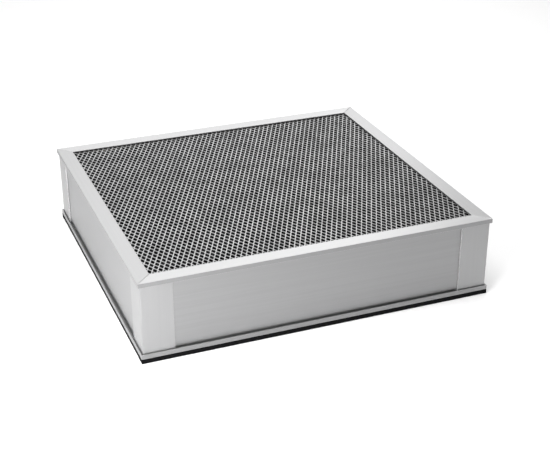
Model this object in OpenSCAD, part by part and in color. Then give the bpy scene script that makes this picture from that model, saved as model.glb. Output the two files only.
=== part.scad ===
// Main filter cartridge of a bench-top solder fume extractor.
// A flat box of mitred aluminium rails, corner posts and thin side panels. It holds a
// charcoal-loaded pleated pack over a fine paper pleated pack, between two mesh grilles,
// and it seals against the extractor with a foam gasket round its underside.
// Origin: centre of the gasket's sealing face. +X runs along the long front side, +Z is up.

/* [Cartridge] */
// Overall width, along X
body_w = 430; // [360:5:600]
// Overall depth, along Y
body_d = 398; // [330:2:600]
// Overall height, gasket included
body_h = 100; // [80:1:150]

/* [Rails] */
// Width of a rail's flat flange, seen from above
rail_w = 18; // [14:0.5:24]
// Thickness of the flange
flange_t = 1.5; // [1:0.1:2.5]
// Height of a rail's outer lip, flange included
lip_h = 5.5; // [4.5:0.1:7]
// Thickness of both lips
lip_t = 1.5; // [1.2:0.1:1.8]
// Height of a rail's inner lip, flange included
inner_lip_h = 10; // [8:0.5:12]

/* [Corner posts and panels] */
// Gap between the outer face of a rail and the outer face of a post
post_inset = 2; // [1.8:0.1:2.5]
// Thickness of a corner post
post_t = 2; // [1.5:0.1:2.2]
// Length of each leg of a corner post
post_leg = 37; // [25:1:50]
// Outer bend radius of a corner post
post_bend = 1.5; // [0.5:0.1:1.5]
// Thickness of a side panel
panel_t = 1.5; // [1:0.1:1.5]
// Height of a corner key
key_h = 2; // [1.5:0.1:3]
// Length of each leg of a corner key
key_leg = 30; // [20:1:36]

/* [Gasket] */
// Thickness of the foam gasket
gasket_h = 6; // [4:0.5:8]
// Width of the foam gasket
gasket_w = 16; // [10:0.5:18]

/* [Grilles] */
// Thickness of a grille
grille_t = 1.2; // [0.8:0.1:1.5]

/* [Filter packs] */
// Distance from the cartridge's outer face to a pack
pack_inset = 9; // [8:0.5:14]
// Pitch of the charcoal pleats, along Y
carbon_pitch = 9; // [8:0.5:14]
// Thickness of the charcoal-loaded medium
carbon_t = 1.2; // [0.8:0.1:1.5]
// Pitch of the fine paper pleats, along Y
paper_pitch = 4.4; // [4:0.2:8]
// Thickness of the filter paper
paper_t = 0.5; // [0.4:0.1:0.6]
// Height of the fine paper pack
paper_h = 40; // [25:1:45]
// Thickness of the fleece between the packs
fleece_t = 1.6; // [1:0.1:3]
// Gap between a pack and its grille
pack_gap = 1; // [0.5:0.1:1.5]
// Spacing of the glue beads on the paper pack, along X
bead_pitch = 25.4; // [20:0.1:60]
// Radius of a glue bead
bead_r = 0.9; // [0.6:0.1:1]

/* [Hidden] */
$fn = 48;

// Bend radius of a corner key
key_bend = 0.5;

// Steps across a rail's profile, measured inwards from its outer face
panel_u = post_inset + post_t;
channel_end = panel_u + panel_t;
inner_lip_end = channel_end + lip_t;
grille_inset = inner_lip_end + 0.5;

// Heights
rail_z = gasket_h;
channel_low = rail_z + flange_t;
channel_high = body_h - flange_t;
panel_h = channel_high - channel_low;
post_z = channel_low + key_h;
post_h = panel_h - 2 * key_h;
paper_z = channel_low + grille_t + pack_gap;
fleece_z = paper_z + paper_h + bead_r;
carbon_z = fleece_z + fleece_t;
carbon_h = channel_high - grille_t - pack_gap - carbon_z;
sealant_z = rail_z + inner_lip_h;
sealant_h = body_h - inner_lip_h - sealant_z;

// Plan sizes of the filter packs
pack_w = body_w - 2 * pack_inset;
pack_d = body_d - 2 * pack_inset;
bead_count = floor(pack_w / bead_pitch);

// Turns a shape built for the front side, with its outer face on Y = 0, onto each side.
module on_front() translate([0, -body_d / 2, 0]) children();
module on_back() mirror([0, 1, 0]) on_front() children();
module on_left() translate([-body_w / 2, 0, 0]) rotate(-90) children();
module on_right() mirror([1, 0, 0]) on_left() children();

// Turns a shape built in the corner X > 0, Y > 0 of the origin onto a corner of the box.
module at_corner(right, back) {
    mirror([right, 0, 0])
        mirror([0, back, 0])
            translate([-body_w / 2, -body_d / 2, 0])
                children();
}

// Profile of a rail. X is the distance in from its outer face, Y the height above its flange.
module rail_profile() {
    polygon([
        [0, 0], [rail_w, 0], [rail_w, flange_t], [inner_lip_end, flange_t],
        [inner_lip_end, inner_lip_h], [channel_end, inner_lip_h], [channel_end, flange_t],
        [lip_t, flange_t], [lip_t, lip_h], [0, lip_h]
    ]);
}

// A rail of the given length along X, cut to 45 degrees at both ends.
module rail(length) {
    color("gainsboro")
    intersection() {
        translate([-length / 2, 0, 0])
            rotate([90, 0, 90])
                linear_extrude(length)
                    rail_profile();
        linear_extrude(body_h)
            polygon([
                [-length / 2, 0], [length / 2, 0],
                [length / 2 - rail_w, rail_w], [-length / 2 + rail_w, rail_w]
            ]);
    }
}

module top_rail(length) translate([0, 0, body_h]) mirror([0, 0, 1]) rail(length);
module bottom_rail(length) translate([0, 0, rail_z]) rail(length);

// A flat side panel that stands in the channels of the two rails of its side.
module panel(length) {
    color("silver")
        translate([-length / 2, panel_u, channel_low])
            cube([length, panel_t, panel_h]);
}

// Outline of an L with its outer bend at the origin and equal legs along +X and +Y.
module angle_outline(leg, thickness, bend) {
    difference() {
        union() {
            translate([bend, 0]) square([leg - bend, leg]);
            translate([0, bend]) square([leg, leg - bend]);
            translate([bend, bend]) circle(r = bend);
        }
        translate([thickness, thickness]) square(leg);
    }
}

// A bent angle that covers one upright edge, outside the ends of two panels.
module corner_post() {
    color("lightgray")
        translate([post_inset, post_inset, post_z])
            linear_extrude(post_h)
                angle_outline(post_leg, post_t, post_bend);
}

// A flat angle pressed into the roots of two channels across their mitre.
module corner_key(z) {
    color("darkgray")
        translate([lip_t, lip_t, z])
            linear_extrude(key_h)
                angle_outline(key_leg, panel_u - lip_t, key_bend);
}

module top_key() corner_key(channel_high - key_h);
module bottom_key() corner_key(channel_low);

// A strip of the foam gasket, flush with the outer face of the rail above it.
module gasket_strip(length) {
    color([0.09, 0.09, 0.1])
        translate([-length / 2, 0, 0])
            cube([length, gasket_w, gasket_h]);
}

// The space that an expanded-metal grille takes up, as a plain sheet.
module grille(z) {
    color("dimgray")
        translate([-body_w / 2 + grille_inset, -body_d / 2 + grille_inset, z])
            cube([body_w - 2 * grille_inset, body_d - 2 * grille_inset, grille_t]);
}

// One face of a folded sheet across a pleat that is centred on Y = 0: up, along the fold, down.
function pleat_upper(pitch, fold, t, low, high) = [
    [-pitch / 2 + fold / 2 - t, low + t], [-fold / 2, high],
    [fold / 2, high], [pitch / 2 - fold / 2 + t, low + t]
];
function pleat_lower(pitch, fold, t, low, high) = [
    [-pitch / 2 + fold / 2, low], [-fold / 2 + t, high - t],
    [fold / 2 - t, high - t], [pitch / 2 - fold / 2, low]
];

// A sheet folded into pleats whose folds run along X, between two heights.
module pleated_sheet(pitch, fold, t, low, high) {
    count = floor(pack_d / pitch);
    centre = [for (i = [0 : count - 1]) (i - (count - 1) / 2) * pitch];
    upper = [for (c = centre) for (p = pleat_upper(pitch, fold, t, low, high)) p + [c, 0]];
    lower = [
        for (i = [count - 1 : -1 : 0])
            for (k = [3 : -1 : 0])
                pleat_lower(pitch, fold, t, low, high)[k] + [centre[i], 0]
    ];
    translate([-pack_w / 2, 0, 0])
        rotate([90, 0, 90])
            linear_extrude(pack_w)
                polygon(concat(upper, lower));
}

module carbon_pleats() {
    color([0.22, 0.22, 0.23])
        pleated_sheet(carbon_pitch, carbon_pitch * 0.4, carbon_t, carbon_z, carbon_z + carbon_h);
}

module paper_pleats() {
    color("ivory")
        pleated_sheet(paper_pitch, paper_pitch * 0.4, paper_t, paper_z, paper_z + paper_h);
}

// Half-round beads of glue laid across the folds, above and below the paper pack.
module paper_glue_beads() {
    color("white")
        for (i = [0 : bead_count - 1])
            for (z = [paper_z, paper_z + paper_h])
                translate([(i - (bead_count - 1) / 2) * bead_pitch, 0, z])
                    glue_bead(z > paper_z);
}

module glue_bead(above) {
    mirror([0, 0, above ? 0 : 1])
        intersection() {
            translate([0, pack_d / 2 - paper_pitch, 0])
                rotate([90, 0, 0])
                    cylinder(r = bead_r, h = pack_d - 2 * paper_pitch);
            translate([-bead_r, -pack_d / 2, 0])
                cube([2 * bead_r, pack_d, bead_r]);
        }
}

// A thin fleece that keeps the two packs apart.
module separator_fleece() {
    color("whitesmoke")
        translate([-pack_w / 2, -pack_d / 2, fleece_z])
            cube([pack_w, pack_d, fleece_t]);
}

// Set potting compound between a side panel and the ends or edges of the packs.
module sealant(length) {
    color("khaki")
        translate([-length / 2, channel_end, sealant_z])
            cube([length, pack_inset - channel_end, sealant_h]);
}

on_front() top_rail(body_w);  // top_rail_front
on_back() top_rail(body_w);  // top_rail_back
on_left() top_rail(body_d);  // top_rail_left
on_right() top_rail(body_d);  // top_rail_right
on_front() bottom_rail(body_w);  // bottom_rail_front
on_back() bottom_rail(body_w);  // bottom_rail_back
on_left() bottom_rail(body_d);  // bottom_rail_left
on_right() bottom_rail(body_d);  // bottom_rail_right
on_front() panel(body_w - 2 * panel_u);  // panel_front
on_back() panel(body_w - 2 * panel_u);  // panel_back
on_left() panel(body_d - 2 * channel_end);  // panel_left
on_right() panel(body_d - 2 * channel_end);  // panel_right
at_corner(0, 0) corner_post();  // post_front_left
at_corner(1, 0) corner_post();  // post_front_right
at_corner(0, 1) corner_post();  // post_back_left
at_corner(1, 1) corner_post();  // post_back_right
at_corner(0, 0) top_key();  // top_key_front_left
at_corner(1, 0) top_key();  // top_key_front_right
at_corner(0, 1) top_key();  // top_key_back_left
at_corner(1, 1) top_key();  // top_key_back_right
at_corner(0, 0) bottom_key();  // bottom_key_front_left
at_corner(1, 0) bottom_key();  // bottom_key_front_right
at_corner(0, 1) bottom_key();  // bottom_key_back_left
at_corner(1, 1) bottom_key();  // bottom_key_back_right
on_front() gasket_strip(body_w);  // gasket_front
on_back() gasket_strip(body_w);  // gasket_back
on_left() gasket_strip(body_d - 2 * gasket_w);  // gasket_left
on_right() gasket_strip(body_d - 2 * gasket_w);  // gasket_right
grille(channel_high - grille_t);  // top_grille
grille(channel_low);  // bottom_grille
carbon_pleats();
paper_pleats();
paper_glue_beads();
separator_fleece();
on_front() sealant(body_w - 2 * channel_end);  // sealant_front
on_back() sealant(body_w - 2 * channel_end);  // sealant_back
on_left() sealant(body_d - 2 * pack_inset);  // sealant_left
on_right() sealant(body_d - 2 * pack_inset);  // sealant_right
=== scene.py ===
"""The looks of the fume extractor's filter cartridge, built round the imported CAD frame, in metres."""
import math

import bmesh
import bpy
from mathutils import Matrix, Vector, noise


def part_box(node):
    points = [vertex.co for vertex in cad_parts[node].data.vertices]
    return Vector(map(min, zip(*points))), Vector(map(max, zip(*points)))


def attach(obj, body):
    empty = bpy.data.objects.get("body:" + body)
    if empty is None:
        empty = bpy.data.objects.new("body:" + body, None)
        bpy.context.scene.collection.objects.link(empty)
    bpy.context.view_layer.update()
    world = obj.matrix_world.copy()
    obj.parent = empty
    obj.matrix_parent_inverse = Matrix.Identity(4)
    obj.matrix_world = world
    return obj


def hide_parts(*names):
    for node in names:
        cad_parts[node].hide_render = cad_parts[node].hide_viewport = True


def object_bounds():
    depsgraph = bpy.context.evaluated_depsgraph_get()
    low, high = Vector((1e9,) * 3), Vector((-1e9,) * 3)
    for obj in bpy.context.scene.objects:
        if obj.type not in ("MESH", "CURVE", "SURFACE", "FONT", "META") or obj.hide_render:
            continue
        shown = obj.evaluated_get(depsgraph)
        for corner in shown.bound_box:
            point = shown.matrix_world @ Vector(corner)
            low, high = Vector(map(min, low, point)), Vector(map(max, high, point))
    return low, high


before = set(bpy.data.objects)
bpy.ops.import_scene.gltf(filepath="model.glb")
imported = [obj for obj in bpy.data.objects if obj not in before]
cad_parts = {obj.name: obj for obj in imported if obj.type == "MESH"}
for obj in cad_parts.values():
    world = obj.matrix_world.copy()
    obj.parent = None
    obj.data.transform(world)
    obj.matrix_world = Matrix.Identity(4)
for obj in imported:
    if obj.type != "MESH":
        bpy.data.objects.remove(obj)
cad_low, cad_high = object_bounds()

MM = 0.001
WIDTH = cad_high.x - cad_low.x
DEPTH = cad_high.y - cad_low.y
HEIGHT = cad_high.z - cad_low.z

# Each side's turn about Z from the front side, its own length, and the distance of its face from the centre
SIDES = {
    "front": (0, WIDTH, DEPTH / 2),
    "right": (90, DEPTH, WIDTH / 2),
    "back": (180, WIDTH, DEPTH / 2),
    "left": (270, DEPTH, WIDTH / 2),
}
# Each corner's turn about Z from the front left one, and which side of X and of Y it is on
CORNERS = {
    "front_left": (0, -1, -1),
    "front_right": (90, 1, -1),
    "back_right": (180, 1, 1),
    "back_left": (270, -1, 1),
}


# ---------------------------------------------------------------- material nodes

def new_material(name, colour, roughness, metallic=0.0, specular=0.5):
    """A Principled material with its plain values set on the shader's own sockets."""
    material = bpy.data.materials.new(name)
    material.use_nodes = True
    shader = material.node_tree.nodes["Principled BSDF"]
    shader.inputs["Base Color"].default_value = (*colour, 1)
    shader.inputs["Roughness"].default_value = roughness
    shader.inputs["Metallic"].default_value = metallic
    shader.inputs["Specular IOR Level"].default_value = specular
    return material, material.node_tree, shader


def texture_space(tree, scale):
    """Object coordinates, which are the row frame in metres, scaled along each axis."""
    coordinates = tree.nodes.new("ShaderNodeTexCoord")
    mapping = tree.nodes.new("ShaderNodeMapping")
    mapping.inputs["Scale"].default_value = scale
    tree.links.new(coordinates.outputs["Object"], mapping.inputs["Vector"])
    return mapping.outputs["Vector"]


def noise_value(tree, scale, detail=3.0, rough=0.55):
    """A noise whose features are 1 / scale metres across on each axis."""
    texture = tree.nodes.new("ShaderNodeTexNoise")
    texture.inputs["Scale"].default_value = 1.0
    texture.inputs["Detail"].default_value = detail
    texture.inputs["Roughness"].default_value = rough
    tree.links.new(texture_space(tree, scale), texture.inputs["Vector"])
    return texture.outputs["Fac"]


def cell_value(tree, scale):
    """The distances in a Voronoi pattern whose cells are 1 / scale metres across."""
    texture = tree.nodes.new("ShaderNodeTexVoronoi")
    texture.inputs["Scale"].default_value = scale
    tree.links.new(texture_space(tree, (1, 1, 1)), texture.inputs["Vector"])
    return texture.outputs["Distance"]


def remap(tree, value, low, high, to_low, to_high):
    """Maps a value's range onto another, clamped."""
    node = tree.nodes.new("ShaderNodeMapRange")
    for name, number in zip(("From Min", "From Max", "To Min", "To Max"), (low, high, to_low, to_high)):
        node.inputs[name].default_value = number
    tree.links.new(value, node.inputs["Value"])
    return node.outputs["Result"]


def ramp(tree, value, stops):
    """Colours along a value: stops are (position, colour)."""
    node = tree.nodes.new("ShaderNodeValToRGB")
    elements = node.color_ramp.elements
    while len(elements) < len(stops):
        elements.new(0.5)
    for element, (position, colour) in zip(elements, stops):
        element.position = position
        element.color = (*colour, 1)
    tree.links.new(value, node.inputs["Fac"])
    return node.outputs["Color"]


def add(tree, first, second):
    """The sum of two values."""
    node = tree.nodes.new("ShaderNodeMath")
    node.operation = "ADD"
    tree.links.new(first, node.inputs[0])
    tree.links.new(second, node.inputs[1])
    return node.outputs["Value"]


def bump(tree, shader, height, distance, strength):
    """Relief on the surface: distance, in metres, is how high a height of 1 stands."""
    node = tree.nodes.new("ShaderNodeBump")
    node.inputs["Strength"].default_value = strength
    node.inputs["Distance"].default_value = distance
    tree.links.new(height, node.inputs["Height"])
    tree.links.new(node.outputs["Normal"], shader.inputs["Normal"])


def shade(colour, factor):
    """A colour made lighter or darker."""
    return tuple(min(1.0, c * factor) for c in colour)


# ---------------------------------------------------------------- materials

def stretched(grain, across, along):
    """A noise scale for each axis, with features drawn out along the grain."""
    return [along if axis == grain else across for axis in "xyz"]


def brushed_metal(name, colour, grain, roughness, brushing):
    """Satin aluminium, brushed along one axis: long fine lines and faint bands, as strong as brushing says."""
    material, tree, shader = new_material(name, colour, roughness, metallic=1.0)
    fine = noise_value(tree, stretched(grain, 2200.0, 9.0), detail=2.0)
    broad = noise_value(tree, stretched(grain, 260.0, 3.0), detail=4.0)
    both = add(tree, fine, broad)
    stops = [(0.3, shade(colour, 1 - 0.06 * brushing)), (0.5, colour), (0.7, shade(colour, 1 + 0.04 * brushing))]
    tree.links.new(ramp(tree, remap(tree, both, 0.6, 1.4, 0, 1), stops), shader.inputs["Base Color"])
    spread = 0.05 * brushing
    tree.links.new(remap(tree, both, 0.7, 1.3, roughness - spread, roughness + spread), shader.inputs["Roughness"])
    bump(tree, shader, fine, 0.004 * MM, brushing)
    return material


def edge_metal(name, colour, rough):
    """Bare metal along an edge, with small nicks."""
    material, tree, shader = new_material(name, colour, rough, metallic=1.0)
    nicks = noise_value(tree, (420, 420, 420), detail=4.0, rough=0.7)
    tree.links.new(ramp(tree, nicks, [(0.38, shade(colour, 0.85)), (0.52, colour)]), shader.inputs["Base Color"])
    tree.links.new(remap(tree, nicks, 0.3, 0.7, rough + 0.08, rough - 0.04), shader.inputs["Roughness"])
    bump(tree, shader, nicks, 0.02 * MM, 0.3)
    return material


def mesh_metal():
    """Bare expanded aluminium: rolled strand tops with small drawing marks."""
    colour = (0.38, 0.38, 0.383)
    material, tree, shader = new_material("expanded_metal", colour, 0.42, metallic=1.0)
    marks = noise_value(tree, (900, 300, 900), detail=4.0, rough=0.7)
    patches = noise_value(tree, (45, 45, 45), detail=2.0)
    both = add(tree, marks, patches)
    stops = [(0.35, shade(colour, 0.8)), (0.5, colour), (0.7, shade(colour, 1.12))]
    tree.links.new(ramp(tree, remap(tree, both, 0.6, 1.4, 0, 1), stops), shader.inputs["Base Color"])
    tree.links.new(remap(tree, marks, 0.3, 0.7, 0.34, 0.52), shader.inputs["Roughness"])
    bump(tree, shader, marks, 0.06 * MM, 0.5)
    return material


def mill_metal():
    """Mill-finish aluminium for the keys inside the frame, with sheared grain."""
    colour = (0.36, 0.36, 0.363)
    material, tree, shader = new_material("mill_aluminium", colour, 0.5, metallic=1.0)
    grain = noise_value(tree, (350, 350, 900), detail=4.0, rough=0.65)
    stops = [(0.35, shade(colour, 0.8)), (0.65, shade(colour, 1.1))]
    tree.links.new(ramp(tree, grain, stops), shader.inputs["Base Color"])
    tree.links.new(remap(tree, grain, 0.3, 0.7, 0.42, 0.6), shader.inputs["Roughness"])
    bump(tree, shader, grain, 0.08 * MM, 0.5)
    return material


def foam_rubber():
    """Black closed-cell foam: small cut cells, a slight bloom and dust-grey high spots."""
    colour = (0.005, 0.005, 0.0055)
    material, tree, shader = new_material("foam_rubber", colour, 0.85, specular=0.08)
    cells = cell_value(tree, 1700)
    bloom = noise_value(tree, (60, 60, 120), detail=5.0, rough=0.65)
    stops = [(0.3, shade(colour, 0.7)), (0.55, colour), (0.8, shade(colour, 2.2))]
    tree.links.new(ramp(tree, bloom, stops), shader.inputs["Base Color"])
    tree.links.new(remap(tree, bloom, 0.3, 0.7, 0.75, 0.92), shader.inputs["Roughness"])
    bump(tree, shader, cells, 0.15 * MM, 0.6)
    return material


def charcoal_mat():
    """Charcoal-loaded fibre mat: pale fibres over dark grains, duller in patches."""
    material, tree, shader = new_material("charcoal_mat", (0.02, 0.02, 0.0205), 0.85, specular=0.08)
    grains = cell_value(tree, 1300)
    fibres = noise_value(tree, (500, 2400, 900), detail=5.0, rough=0.75)
    patches = noise_value(tree, (70, 120, 70), detail=4.0, rough=0.6)
    mix = add(tree, remap(tree, fibres, 0.35, 0.7, 0, 0.6), remap(tree, patches, 0.35, 0.65, 0, 0.4))
    stops = [(0.15, (0.003, 0.003, 0.003)), (0.5, (0.008, 0.008, 0.0083)), (0.85, (0.03, 0.03, 0.0306))]
    tree.links.new(ramp(tree, mix, stops), shader.inputs["Base Color"])
    tree.links.new(remap(tree, grains, 0.0, 0.6, 0.7, 0.95), shader.inputs["Roughness"])
    bump(tree, shader, add(tree, grains, fibres), 0.35 * MM, 0.8)
    return material


def filter_paper():
    """Glass-fibre filter paper: off-white, with cloudy formation and short fibres."""
    material, tree, shader = new_material("filter_paper", (0.83, 0.82, 0.78), 0.9, specular=0.2)
    fibres = noise_value(tree, (700, 2600, 2600), detail=4.0, rough=0.7)
    clouds = noise_value(tree, (120, 120, 120), detail=3.0)
    mix = add(tree, remap(tree, fibres, 0.3, 0.7, 0, 0.5), remap(tree, clouds, 0.3, 0.7, 0, 0.5))
    stops = [(0.2, (0.74, 0.73, 0.69)), (0.5, (0.83, 0.82, 0.78)), (0.8, (0.88, 0.88, 0.85))]
    tree.links.new(ramp(tree, mix, stops), shader.inputs["Base Color"])
    tree.links.new(remap(tree, clouds, 0.3, 0.7, 0.82, 0.95), shader.inputs["Roughness"])
    bump(tree, shader, mix, 0.08 * MM, 0.5)
    return material


def hot_glue():
    """Set hot-melt glue: waxy cream with a soft gloss and small ripples."""
    material, tree, shader = new_material("hot_glue", (0.85, 0.82, 0.72), 0.38)
    shader.inputs["Subsurface Weight"].default_value = 0.15
    shader.inputs["Subsurface Radius"].default_value = (0.001, 0.0008, 0.0005)
    ripples = noise_value(tree, (400, 900, 400), detail=3.0)
    stops = [(0.3, (0.78, 0.74, 0.62)), (0.6, (0.87, 0.84, 0.75))]
    tree.links.new(ramp(tree, ripples, stops), shader.inputs["Base Color"])
    tree.links.new(remap(tree, ripples, 0.3, 0.7, 0.3, 0.5), shader.inputs["Roughness"])
    bump(tree, shader, ripples, 0.12 * MM, 0.5)
    return material


def potting_compound():
    """Set polyurethane: amber-cream, with trapped bubbles and a poured skin."""
    material, tree, shader = new_material("potting_compound", (0.72, 0.66, 0.5), 0.45)
    bubbles = cell_value(tree, 450)
    streaks = noise_value(tree, (30, 30, 160), detail=4.0)
    stops = [(0.3, (0.62, 0.55, 0.39)), (0.65, (0.76, 0.71, 0.56))]
    tree.links.new(ramp(tree, streaks, stops), shader.inputs["Base Color"])
    tree.links.new(remap(tree, streaks, 0.3, 0.7, 0.35, 0.55), shader.inputs["Roughness"])
    bump(tree, shader, bubbles, 0.2 * MM, 0.4)
    return material


def bonded_fleece():
    """Thin bonded fleece: tangled pale fibres."""
    material, tree, shader = new_material("bonded_fleece", (0.8, 0.8, 0.79), 0.95, specular=0.15)
    shader.inputs["Sheen Weight"].default_value = 0.25
    fibres = noise_value(tree, (2200, 900, 2200), detail=6.0, rough=0.8)
    crossing = noise_value(tree, (900, 2200, 2200), detail=6.0, rough=0.8)
    both = add(tree, fibres, crossing)
    stops = [(0.35, (0.62, 0.62, 0.61)), (0.6, (0.84, 0.84, 0.83))]
    tree.links.new(ramp(tree, remap(tree, both, 0.6, 1.4, 0, 1), stops), shader.inputs["Base Color"])
    tree.links.new(remap(tree, both, 0.7, 1.3, 0.88, 1.0), shader.inputs["Roughness"])
    bump(tree, shader, both, 0.3 * MM, 0.7)
    return material


# The rails along X and along Y are the same metal. Those along X are painted lighter (painted highlight) and those
# along Y darker (painted shade), standing in for the brushed grain's different reflections
RAIL_ALONG_X_PAINTED_HIGHLIGHT_COLOUR = (0.475, 0.475, 0.478)
RAIL_ALONG_Y_PAINTED_SHADE_COLOUR = (0.415, 0.415, 0.418)
POST_COLOUR = (0.35, 0.35, 0.353)
# The lip is the same extrusion as the rail, in a darker copy of its metal: painted shade on the lip's upright
# outer face
LIP_PAINTED_SHADE_COLOUR = (0.285, 0.285, 0.288)
PANEL_COLOUR = (0.315, 0.315, 0.318)
materials = {
    "rail_x": brushed_metal("rail_brushed_along_x_painted_highlight", RAIL_ALONG_X_PAINTED_HIGHLIGHT_COLOUR, "x", 0.42, 0.5),
    "rail_y": brushed_metal("rail_brushed_along_y_painted_shade", RAIL_ALONG_Y_PAINTED_SHADE_COLOUR, "y", 0.42, 0.5),
    "lip_x": brushed_metal("lip_brushed_along_x_painted_shade", LIP_PAINTED_SHADE_COLOUR, "x", 0.42, 0.5),
    "lip_y": brushed_metal("lip_brushed_along_y_painted_shade", LIP_PAINTED_SHADE_COLOUR, "y", 0.42, 0.5),
    "post": brushed_metal("post_rolled_along_z", POST_COLOUR, "z", 0.45, 0.25),
    "panel_x": brushed_metal("panel_brushed_along_x", PANEL_COLOUR, "x", 0.48, 0.6),
    "panel_y": brushed_metal("panel_brushed_along_y", PANEL_COLOUR, "y", 0.48, 0.6),
    "edge": edge_metal("worn_edge", (0.46, 0.46, 0.463), 0.42),
    "cut": edge_metal("sheared_edge", (0.75, 0.75, 0.753), 0.7),
    "mesh": mesh_metal(),
    "mill": mill_metal(),
    "foam": foam_rubber(),
    "charcoal": charcoal_mat(),
    "paper": filter_paper(),
    "glue": hot_glue(),
    "potting": potting_compound(),
    "fleece": bonded_fleece(),
}


# ---------------------------------------------------------------- mesh helpers

# A piece's material slots: the body is slot 0, its rounded edges slot 1 and any faces of their own slot 2
EDGE_SLOT = 1
FACE_SLOT = 2
SHARP_ANGLE = math.radians(35)


def new_piece(name, build, keys, node):
    """Makes a mesh object from a bmesh function, with its materials, and ties it to the CAD frame."""
    bm = bmesh.new()
    build(bm)
    bmesh.ops.recalc_face_normals(bm, faces=bm.faces)
    mesh = bpy.data.meshes.new(name)
    bm.to_mesh(mesh)
    bm.free()
    piece = bpy.data.objects.new(name, mesh)
    bpy.context.scene.collection.objects.link(piece)
    for key in keys:
        mesh.materials.append(materials[key])
    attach(piece, "root")
    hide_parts(node)
    return piece


def smooth(piece):
    """Smooth shading over the whole piece."""
    for polygon in piece.data.polygons:
        polygon.use_smooth = True


def round_edges(piece, width, segments=3):
    """Rounds a sheet-metal piece's sharp edges, with the worn-edge material on the rounding."""
    modifier = piece.modifiers.new("rounded_edges", "BEVEL")
    modifier.width = width
    modifier.segments = segments
    modifier.limit_method = "ANGLE"
    modifier.angle_limit = SHARP_ANGLE
    modifier.harden_normals = True
    modifier.material = EDGE_SLOT
    smooth(piece)


def side_point(side, s, u, z):
    """A point s along a side, u in from its face and z up, in the row frame."""
    turn, _, face = SIDES[side]
    return Matrix.Rotation(math.radians(turn), 3, "Z") @ Vector((s, -face + u, z))


def loft(bm, rings, closed=True):
    """Joins rings of points into a skin. Closed rings get a cap at each end; open ones make a sheet."""
    rows = [[bm.verts.new(p) for p in ring] for ring in rings]
    count = len(rows[0])
    for a, b in zip(rows, rows[1:]):
        for i in range(count if closed else count - 1):
            k = (i + 1) % count
            bm.faces.new((a[i], a[k], b[k], b[i]))
    if closed:
        bm.faces.new(rows[0][::-1])
        bm.faces.new(rows[-1])


# ---------------------------------------------------------------- frame: rails, panels, posts

FLANGE_T = 1.5 * MM
LIP_T = 1.5 * MM
LIP_H = 5.5 * MM
MITRE_GAP = 0.13 * MM
RAIL_ROUNDING = 0.3 * MM
RAIL_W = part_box("top_rail_front")[1].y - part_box("top_rail_front")[0].y
RAIL_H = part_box("top_rail_front")[1].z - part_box("top_rail_front")[0].z
PANEL_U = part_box("panel_front")[0].y - cad_low.y
CHANNEL_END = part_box("panel_front")[1].y - cad_low.y


def rail_profile():
    """(u, h): distance in from the rail's outer face, and height above its flange's outer face."""
    inner = CHANNEL_END + LIP_T
    return [
        (0, 0), (RAIL_W, 0), (RAIL_W, FLANGE_T), (inner, FLANGE_T), (inner, RAIL_H),
        (CHANNEL_END, RAIL_H), (CHANNEL_END, FLANGE_T), (LIP_T, FLANGE_T), (LIP_T, LIP_H), (0, LIP_H),
    ]


def rail(side, level):
    """A mitred rail. The top rails are the bottom ones turned over."""
    node = f"{level}_rail_{side}"
    low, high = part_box(node)
    half = SIDES[side][1] / 2 - MITRE_GAP

    def place(end, u, h):
        z = high.z - h if level == "top" else low.z + h
        return side_point(side, end * (half - u), u, z)

    def build(bm):
        profile = rail_profile()
        loft(bm, [[place(end, u, h) for u, h in profile] for end in (-1, 1)])
        bm.faces.ensure_lookup_table()
        # The outer lip's upright face takes the darker lip copy of the rail metal: painted shade
        outer_lip = len(profile) - 1
        bm.faces[outer_lip].material_index = FACE_SLOT

    # The grain picks the lighter rail copy with painted highlight (along X) or the darker copy with painted shade
    # (along Y)
    grain = "x" if side in ("front", "back") else "y"
    keys = [f"rail_{grain}", "edge", f"lip_{grain}"]
    piece = new_piece(f"{node}_extrusion", build, keys, node)
    round_edges(piece, RAIL_ROUNDING)


PANEL_BOW = 0.05 * MM
PANEL_ROUNDING = 0.15 * MM


def panel(side):
    """A thin side panel with a very slight bow between its corners."""
    node = f"panel_{side}"
    low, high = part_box(node)
    length = high.x - low.x if side in ("front", "back") else high.y - low.y
    thickness = CHANNEL_END - PANEL_U
    columns, rows = 48, 8

    def wave(s, z):
        inside = math.cos(math.pi * s / length) * math.sin(math.pi * (z - low.z) / (high.z - low.z))
        return PANEL_BOW * inside * (1 + 0.4 * noise.noise(Vector((s * 9, z * 12, len(side)))))

    def build(bm):
        rings = []
        for i in range(columns + 1):
            s = (i / columns - 0.5) * length
            up = [low.z + (high.z - low.z) * k / rows for k in range(rows + 1)]
            outer = [side_point(side, s, PANEL_U + wave(s, z), z) for z in up]
            inner = [side_point(side, s, PANEL_U + thickness, z) for z in reversed(up)]
            rings.append(outer + inner)
        loft(bm, rings)

    grain = "x" if side in ("front", "back") else "y"
    piece = new_piece(f"{node}_sheet", build, [f"panel_{grain}", "edge"], node)
    round_edges(piece, PANEL_ROUNDING, segments=2)


def arc(centre, radius, start, end, steps):
    """Points on a circle's arc, in degrees."""
    angles = [math.radians(start + (end - start) * i / steps) for i in range(steps + 1)]
    return [(centre[0] + radius * math.cos(a), centre[1] + radius * math.sin(a)) for a in angles]


POST_T = 2.0 * MM
POST_OUTER_BEND = 1.5 * MM
POST_INNER_BEND = 0.3 * MM
POST_ROUNDING = 0.25 * MM


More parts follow.
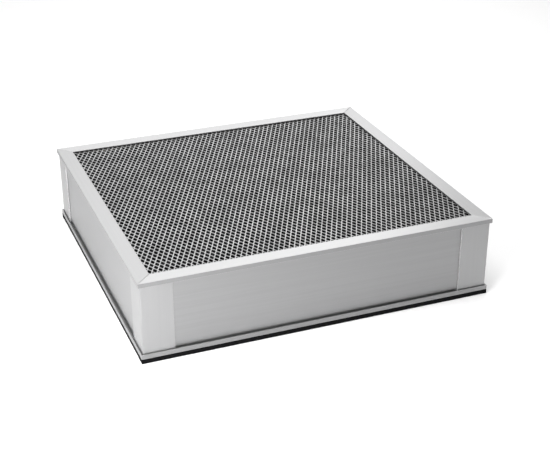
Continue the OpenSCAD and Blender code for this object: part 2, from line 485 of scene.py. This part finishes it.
def corner_post(corner):
    """A bent angle round one upright edge of the box."""
    turn, side_x, side_y = CORNERS[corner]
    node = f"post_{corner}"
    low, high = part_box(node)
    leg = high.x - low.x
    corner_point = Vector((low.x if side_x < 0 else high.x, low.y if side_y < 0 else high.y, 0))

    def build(bm):
        inside = POST_T + POST_INNER_BEND
        outline = [(leg, 0), (leg, POST_T)]
        outline += arc((inside, inside), POST_INNER_BEND, 270, 180, 4)
        outline += [(POST_T, leg), (0, leg)]
        outline += arc((POST_OUTER_BEND, POST_OUTER_BEND), POST_OUTER_BEND, 180, 270, 8)
        turned = Matrix.Rotation(math.radians(turn), 3, "Z")
        rings = []
        for z in (low.z, high.z):
            rings.append([corner_point + turned @ Vector((x, y, 0)) + Vector((0, 0, z)) for x, y in outline])
        loft(bm, rings)
        bm.faces.ensure_lookup_table()
        cut_ends = (outline.index((leg, 0)), outline.index((POST_T, leg)))
        for end in cut_ends:
            bm.faces[end].material_index = FACE_SLOT

    piece = new_piece(f"{node}_angle", build, ["post", "edge", "cut"], node)
    round_edges(piece, POST_ROUNDING)


for side in SIDES:
    for level in ("top", "bottom"):
        rail(side, level)
    panel(side)
for corner in CORNERS:
    corner_post(corner)


# ---------------------------------------------------------------- gasket

GASKET_STEPS = 120
GASKET_CHAMFER = 0.5 * MM
GASKET_ROUNDING = 0.15 * MM
# How far the cut strays on the outer and inner side, and how far the foam bulges
OUTER_STRAY = 0.18 * MM
INNER_STRAY = 0.4 * MM
FOAM_BULGE = 0.12 * MM


def gasket(side):
    """A die-cut foam strip: soft edges, slightly wavy sides, flat where it seals."""
    node = f"gasket_{side}"
    low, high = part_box(node)
    along_x = side in ("front", "back")
    length = high.x - low.x if along_x else high.y - low.y
    width = high.y - low.y if along_x else high.x - low.x
    edge = GASKET_CHAMFER

    def build(bm):
        rings = []
        for i in range(GASKET_STEPS + 1):
            s = (i / GASKET_STEPS - 0.5) * length
            drift = OUTER_STRAY * (1 + noise.noise(Vector((s * 35, len(side), 1)))) / 2
            inner_drift = INNER_STRAY * noise.noise(Vector((s * 20, len(side), 5)))
            bulge = FOAM_BULGE * (1 + noise.noise(Vector((s * 60, len(side), 9)))) / 2
            u0, u1 = drift, width - INNER_STRAY + inner_drift
            z0, z1 = low.z, high.z
            waist = (z0 + z1) / 2
            ring = [
                (u0 + edge, z0), (u1 - edge, z0), (u1, z0 + edge), (u1 + bulge, waist), (u1, z1 - edge),
                (u1 - edge, z1), (u0 + edge, z1), (u0, z1 - edge), (u0 - bulge * 0.5, waist), (u0, z0 + edge),
            ]
            rings.append([side_point(side, s, max(u, 0.0), z) for u, z in ring])
        loft(bm, rings)

    piece = new_piece(f"{node}_foam", build, ["foam"], node)
    smooth(piece)
    piece.modifiers.new("soft_corners", "BEVEL").width = GASKET_ROUNDING


for side in SIDES:
    gasket(side)


# ---------------------------------------------------------------- expanded-metal grilles

# The mesh's pitch across X and along Y
SHORT_WAY = 6.38 * MM
LONG_WAY = 13.3 * MM
# A bond, where four strands meet: half its width, half the length of its straight sides, and half its length and
# half its width at the tips
BOND_HALF_W = 0.85 * MM
BOND_SIDE = 0.95 * MM
BOND_TIP = 1.9 * MM
TIP_HALF_W = 0.15 * MM
STRAND_T = 0.5 * MM
# How much of the grille's spare thickness a bond's tilt takes up, and how far a bond strays from the lattice
TILT_SHARE = 0.2
BOND_STRAY = 0.12 * MM
# A bond's walls are numbered round its outline, wall n from corner n to n + 1. Each strand is the lattice step to
# the next bond, the wall it leaves and the wall it meets there.
WALLS = 8
STRANDS = (((1, 1), 1, 5), ((-1, 1), 3, 7))


def expanded_grille(node, name, lean):
    """Expanded metal: bonds on a staggered lattice joined by strands. The bonds lean to -X or +X, as lean says."""
    low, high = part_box(node)
    tilt = TILT_SHARE * (high.z - low.z - STRAND_T) / 2
    middle = (low.z + high.z) / 2
    across = int((high.x - low.x) / 2 / (SHORT_WAY / 2) - BOND_HALF_W / (SHORT_WAY / 2))
    along = int(((high.y - low.y) / 2 - BOND_TIP) / (LONG_WAY / 2))
    outline = [
        (BOND_HALF_W, -BOND_SIDE), (BOND_HALF_W, BOND_SIDE), (TIP_HALF_W, BOND_TIP), (-TIP_HALF_W, BOND_TIP),
        (-BOND_HALF_W, BOND_SIDE), (-BOND_HALF_W, -BOND_SIDE), (-TIP_HALF_W, -BOND_TIP), (TIP_HALF_W, -BOND_TIP),
    ]

    def build(bm):
        bonds = {}
        for i in range(-across, across + 1):
            for k in range(-along, along + 1):
                if (i + k) % 2:
                    continue
                x, y = i * SHORT_WAY / 2, k * LONG_WAY / 2
                x += BOND_STRAY * noise.noise(Vector((i * 0.37, k * 0.53, 2)))
                y += BOND_STRAY * noise.noise(Vector((i * 0.41, k * 0.47, 7)))
                top = []
                for u, v in outline:
                    z = middle + STRAND_T / 2 + tilt * u / BOND_HALF_W * lean
                    top.append(bm.verts.new((x + u, y + v, z)))
                bottom = [bm.verts.new(v.co - Vector((0, 0, STRAND_T))) for v in top]
                bm.faces.new(top)
                bm.faces.new(bottom[::-1])
                bonds[i, k] = (top, bottom)
        joined = {key: set() for key in bonds}
        for (i, k), (top, bottom) in bonds.items():
            for (di, dk), near_wall, far_wall in STRANDS:
                other = bonds.get((i + di, k + dk))
                if other is None:
                    continue
                other_top, other_bottom = other
                a, b = near_wall, (near_wall + 1) % WALLS
                c, d = (far_wall + 1) % WALLS, far_wall
                bm.faces.new((top[a], other_top[c], other_top[d], top[b]))
                bm.faces.new((bottom[b], other_bottom[d], other_bottom[c], bottom[a]))
                joined[i, k].add(near_wall)
                joined[i + di, k + dk].add(far_wall)
                for p, q in ((a, c), (b, d)):
                    bm.faces.new((top[p], bottom[p], other_bottom[q], other_top[q]))
        # The walls of each bond that no strand joins
        for key, (top, bottom) in bonds.items():
            for n in range(WALLS):
                if n not in joined[key]:
                    m = (n + 1) % WALLS
                    bm.faces.new((top[n], bottom[n], bottom[m], top[m]))

    new_piece(name, build, ["mesh"], node)


expanded_grille("top_grille", "top_grille_expanded", -1)
expanded_grille("bottom_grille", "bottom_grille_expanded", 1)


# ---------------------------------------------------------------- pleated packs

def fold_path(pitch, low, high, radius):
    """(y, z) over one pleat, from one valley's middle to the next, with round folds."""
    half = pitch / 2
    path = arc((-half, low + radius), radius, 270, 360, 3)
    path += [(-half + radius + (half - 2 * radius) * t, low + (high - low) * t) for t in (0.3, 0.7)]
    path += arc((0, high - radius), radius, 180, 0, 6)
    path += [(radius + (half - 2 * radius) * (1 - t), low + (high - low) * t) for t in (0.7, 0.3)]
    path += arc((half, low + radius), radius, 180, 270, 3)[:-1]
    return path


PAPER_PITCH = 4.4 * MM
FOLD_RADIUS_SHARE = 0.2


def pleated_pack(node, name, pitch, columns, wander, droop, thickness, key):
    """A folded sheet whose folds run along X and stray a little, as hand-set pleats do."""
    low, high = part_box(node)
    count = int((high.y - low.y) / pitch)
    inset = thickness / 2
    radius = pitch * FOLD_RADIUS_SHARE
    path = fold_path(pitch, low.z + inset, high.z - inset, radius)
    height = high.z - low.z

    def build(bm):
        rings = []
        for column in range(columns + 1):
            x = low.x + (high.x - low.x) * column / columns
            ring = []
            for pleat in range(count):
                centre = (pleat - (count - 1) / 2) * pitch
                for y, z in path:
                    lift = (z - low.z) / height
                    place = Vector((x * 22, (centre + y) * 26, 3 * lift))
                    stray = wander * noise.noise(place) + wander * 0.5 * noise.noise(place * 3.1)
                    drop = droop * (0.5 + 0.5 * noise.noise(Vector((x * 30, pleat * 1.7, 4)))) * lift
                    ring.append(Vector((x, centre + y + stray * lift, z - drop)))
            rings.append(ring)
        loft(bm, rings, closed=False)

    piece = new_piece(name, build, [key], node)
    solid = piece.modifiers.new("medium_thickness", "SOLIDIFY")
    solid.thickness = thickness
    solid.offset = 0
    smooth(piece)


pleated_pack(
    "carbon_pleats", "carbon_pleats_folded", pitch=9.0 * MM, columns=84, wander=1.6 * MM, droop=1.8 * MM,
    thickness=1.0 * MM, key="charcoal",
)
pleated_pack(
    "paper_pleats", "paper_pleats_folded", pitch=PAPER_PITCH, columns=40, wander=0.25 * MM, droop=0.2 * MM,
    thickness=0.4 * MM, key="paper",
)


BEAD_SPACING = 25.4 * MM
STEPS_PER_FOLD = 4


def glue_beads():
    """Hot-melt beads across the paper folds. Each rises over a fold and sinks between two."""
    node = "paper_glue_beads"
    low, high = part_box(node)
    paper_low, paper_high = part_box("paper_pleats")
    radius = paper_low.z - low.z
    lines = round((high.x - low.x - 2 * radius) / BEAD_SPACING) + 1
    steps = int((high.y - low.y) / PAPER_PITCH) * STEPS_PER_FOLD

    def build(bm):
        for line in range(lines):
            x = (line - (lines - 1) / 2) * BEAD_SPACING
            for face, outward in ((paper_low.z, -1), (paper_high.z, 1)):
                rings = []
                for i in range(steps + 1):
                    y = low.y + (high.y - low.y) * i / steps
                    sink = 0.35 * radius * (1 - math.cos(math.tau * i / STEPS_PER_FOLD)) / 2
                    wide = radius * (0.85 + 0.2 * noise.noise(Vector((x * 90, y * 140, outward))))
                    ring = []
                    for u, v in arc((0, 0), 1.0, 0, 180, 6) + [(-0.7, -0.5), (0.7, -0.5)]:
                        height = v * radius * 0.98 - (sink if v > 0 else 0)
                        ring.append(Vector((x + u * wide, y, face + outward * height)))
                    rings.append(ring)
                loft(bm, rings)

    piece = new_piece("paper_glue_beads_set", build, ["glue"], node)
    smooth(piece)


glue_beads()


FLEECE_DIP = 0.25 * MM
FLEECE_ROOM = 0.6 * MM


def fleece_mat():
    """The fleece between the packs: a thin soft mat on the paper pack's beads, with room left for its dips."""
    node = "separator_fleece"
    low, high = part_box(node)
    columns, rows = 60, 56

    def build(bm):
        grid = []
        for i in range(columns + 1):
            x = low.x + (high.x - low.x) * i / columns
            line = []
            for k in range(rows + 1):
                y = low.y + (high.y - low.y) * k / rows
                dip = FLEECE_DIP * noise.noise(Vector((x * 60, y * 60, 3)))
                line.append(bm.verts.new((x, y, (low.z + high.z) / 2 + dip)))
            grid.append(line)
        for a, b in zip(grid, grid[1:]):
            for k in range(rows):
                bm.faces.new((a[k], b[k], b[k + 1], a[k + 1]))

    piece = new_piece("separator_fleece_mat", build, ["fleece"], node)
    solid = piece.modifiers.new("loft", "SOLIDIFY")
    solid.thickness = high.z - low.z - FLEECE_ROOM
    solid.offset = 0
    smooth(piece)


fleece_mat()


# ---------------------------------------------------------------- CAD nodes that stay

def repaint(node, key):
    """Gives a CAD node its finished material."""
    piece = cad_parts[node]
    piece.data.materials.clear()
    piece.data.materials.append(materials[key])


for side in SIDES:
    repaint(f"sealant_{side}", "potting")
for level in ("top", "bottom"):
    for corner in CORNERS:
        repaint(f"{level}_key_{corner}", "mill")


# ---------------------------------------------------------------- stage, light and camera

FLOOR_HALF = 6.0
FLOOR_GLOW = 0.21
WORLD_LIGHT = 0.15
# Each softbox: where it hangs, the point it faces, its two sides, and its power in watts
SOFTBOXES = {
    "softbox_above": ((0, 0, 1.5), (0, 0, 0), (1.4, 1.4), 18.4),
    "softbox_behind": ((0.5, 1.8, 1.0), (0, 0, 0.05), (1.4, 0.9), 7.7),
    "softbox_over_back": ((0, 0.8, 1.1), (0, 0, 0.1), (1.2, 1.0), 2.6),
    "softbox_right_back": ((1.0, 1.0, 0.9), (0, 0, 0.05), (0.9, 0.9), 2.4),
    "softbox_left": ((-0.75, -0.2, 0.5), (-0.3, -0.1, 0), (0.5, 0.5), 4.3),
    "softbox_front_left": ((-0.5, -0.6, 0.45), (-0.22, -0.32, 0), (0.3, 0.3), 5.5),
    "softbox_left_back": ((-1.2, 1.2, 0.9), (0, 0, 0.1), (1.1, 1.1), 4.0),
    "softbox_right_front": ((1.3, -1.3, 0.65), (0, 0, 0.1), (1.1, 0.9), 2.2),
}
CAMERA_AZIMUTH = math.radians(-21.52)
CAMERA_ELEVATION = math.radians(26.75)
CAMERA_AWAY = 1.5042
# How far the camera's aim lies to the right of and above the object's middle, in the picture
AIM_RIGHT = 17.81 * MM
AIM_UP = -20.93 * MM
LENS = 77.52
SENSOR_WIDTH = 36


def floor():
    """A plain pale floor."""
    bm = bmesh.new()
    bmesh.ops.create_grid(bm, x_segments=4, y_segments=4, size=FLOOR_HALF)
    mesh = bpy.data.meshes.new("studio_floor")
    bm.to_mesh(mesh)
    bm.free()
    piece = bpy.data.objects.new("studio_floor", mesh)
    bpy.context.scene.collection.objects.link(piece)
    material, _, shader = new_material("floor_paper", (0.8, 0.8, 0.8), 0.9, specular=0.1)
    shader.inputs["Emission Color"].default_value = (1, 1, 1, 1)
    shader.inputs["Emission Strength"].default_value = FLOOR_GLOW
    mesh.materials.append(material)


def area_light(name, place, aim, size, watts):
    """A rectangular softbox, which the camera doesn't see."""
    data = bpy.data.lights.new(name, "AREA")
    data.shape = "RECTANGLE"
    data.size, data.size_y = size
    data.energy = watts
    light = bpy.data.objects.new(name, data)
    bpy.context.scene.collection.objects.link(light)
    light.visible_camera = False
    light.location = place
    light.rotation_mode = "QUATERNION"
    light.rotation_quaternion = (Vector(aim) - Vector(place)).to_track_quat("-Z", "Y")


def studio_world(strength):
    """Even white light all round."""
    world = bpy.data.worlds.new("studio")
    world.use_nodes = True
    background = world.node_tree.nodes["Background"]
    background.inputs["Color"].default_value = (1, 1, 1, 1)
    background.inputs["Strength"].default_value = strength
    bpy.context.scene.world = world


def camera():
    """The camera stands to the left of the front side and looks down at the cartridge."""
    level = math.cos(CAMERA_ELEVATION)
    sideways, forwards = math.sin(CAMERA_AZIMUTH) * level, -math.cos(CAMERA_AZIMUTH) * level
    back = Vector((sideways, forwards, math.sin(CAMERA_ELEVATION)))
    right = Vector((0, 0, 1)).cross(back).normalized()
    up = back.cross(right)
    data = bpy.data.cameras.new("camera")
    data.lens = LENS
    data.sensor_width = SENSOR_WIDTH
    piece = bpy.data.objects.new("camera", data)
    bpy.context.scene.collection.objects.link(piece)
    piece.location = Vector((0, 0, HEIGHT / 2)) + right * AIM_RIGHT + up * AIM_UP + back * CAMERA_AWAY
    piece.rotation_mode = "QUATERNION"
    piece.rotation_quaternion = back.to_track_quat("Z", "Y")
    bpy.context.scene.camera = piece


floor()
studio_world(WORLD_LIGHT)
for name, (place, aim, size, watts) in SOFTBOXES.items():
    area_light(name, place, aim, size, watts)
camera()
bpy.context.scene.view_settings.view_transform = "Standard"
